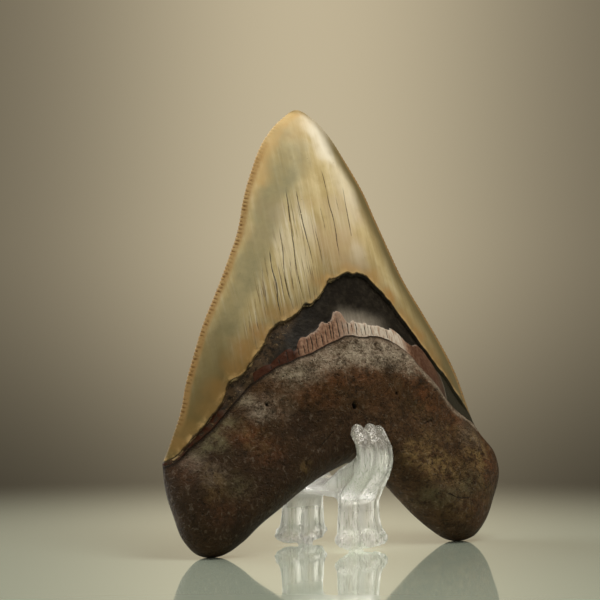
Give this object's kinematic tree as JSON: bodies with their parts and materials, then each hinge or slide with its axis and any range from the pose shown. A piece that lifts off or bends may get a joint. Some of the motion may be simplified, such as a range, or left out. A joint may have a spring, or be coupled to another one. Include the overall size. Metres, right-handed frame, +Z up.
{
  "type": "megalodon tooth on display stand",
  "caption": "Fossil megalodon tooth, a broad serrated triangle with a heavy two-lobed root, standing upright in a small clear saddle stand.",
  "frame": {"origin": "on the ground, at the middle of the whole object's footprint box", "axes": "+Z up, X across the tooth's width, and the tooth's display face, with the deep root and the exposed band, looks towards -Y"},
  "size_m": [0.1112, 0.0412, 0.1281],
  "materials": {
    "fossil": "mineralised tooth: satin cream enamel, nearly black band below it, matt dark brown root",
    "acrylic": "clear and polished"
  },
  "bodies": {
    "root": {"tooth": "fossil", "stand": "acrylic"}
  },
  "joints": []
}
